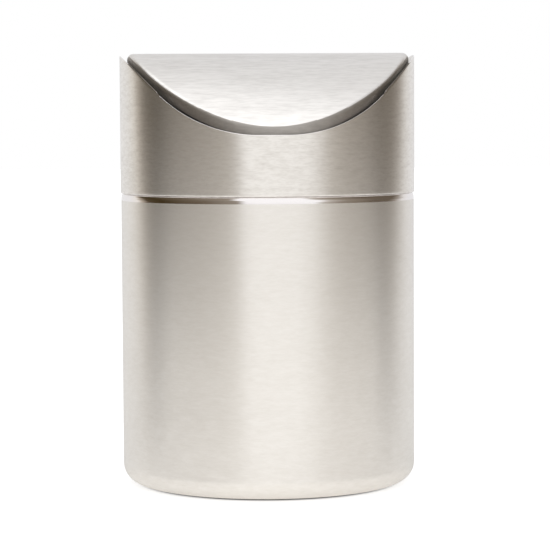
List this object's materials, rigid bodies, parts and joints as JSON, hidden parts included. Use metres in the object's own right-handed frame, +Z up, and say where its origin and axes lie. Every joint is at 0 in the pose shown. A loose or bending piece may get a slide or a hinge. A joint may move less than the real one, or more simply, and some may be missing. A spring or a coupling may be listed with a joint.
{
  "type": "countertop trash can with swing lid",
  "caption": "Small round countertop bin in brushed stainless sheet steel, with a lift-off lid and a domed flap that swings both ways on side pins.",
  "frame": {"origin": "on the table, under the centre of the round body", "axes": "+Z up; X along the flap's hinge line, +X to the right in the picture; -Y towards the swept front of the lid"},
  "size_m": [0.12, 0.12, 0.1755],
  "materials": {
    "brushed_sheet": "brushed stainless sheet",
    "pin_steel": "plain bright steel",
    "foot_rubber": "matt black",
    "seat_plastic": "matt black",
    "bush_nylon": "natural nylon"
  },
  "bodies": {
    "can": {"body_shell": "brushed_sheet", "base_pan": "brushed_sheet", "foot_ring": "foot_rubber"},
    "lid": {"lid_collar": "brushed_sheet", "seat_ring": "seat_plastic", "hinge_pin_left": "pin_steel", "hinge_pin_right": "pin_steel", "retaining_cap_left": "pin_steel", "retaining_cap_right": "pin_steel"},
    "flap": {"flap_shell": "brushed_sheet", "flap_ear_left": "pin_steel", "flap_ear_right": "pin_steel", "bush_left": "bush_nylon", "bush_right": "bush_nylon"}
  },
  "joints": [
    {"name": "lid_lift", "type": "slide", "parent": "can", "child": "lid", "axis": [0, 0, 1], "range_m": [0, 0.06]},
    {"name": "flap_swing", "type": "hinge", "parent": "lid", "child": "flap", "pos_m": [0, 0, 0.1685], "axis": [1, 0, 0], "range_deg": [-85, 85]}
  ]
}
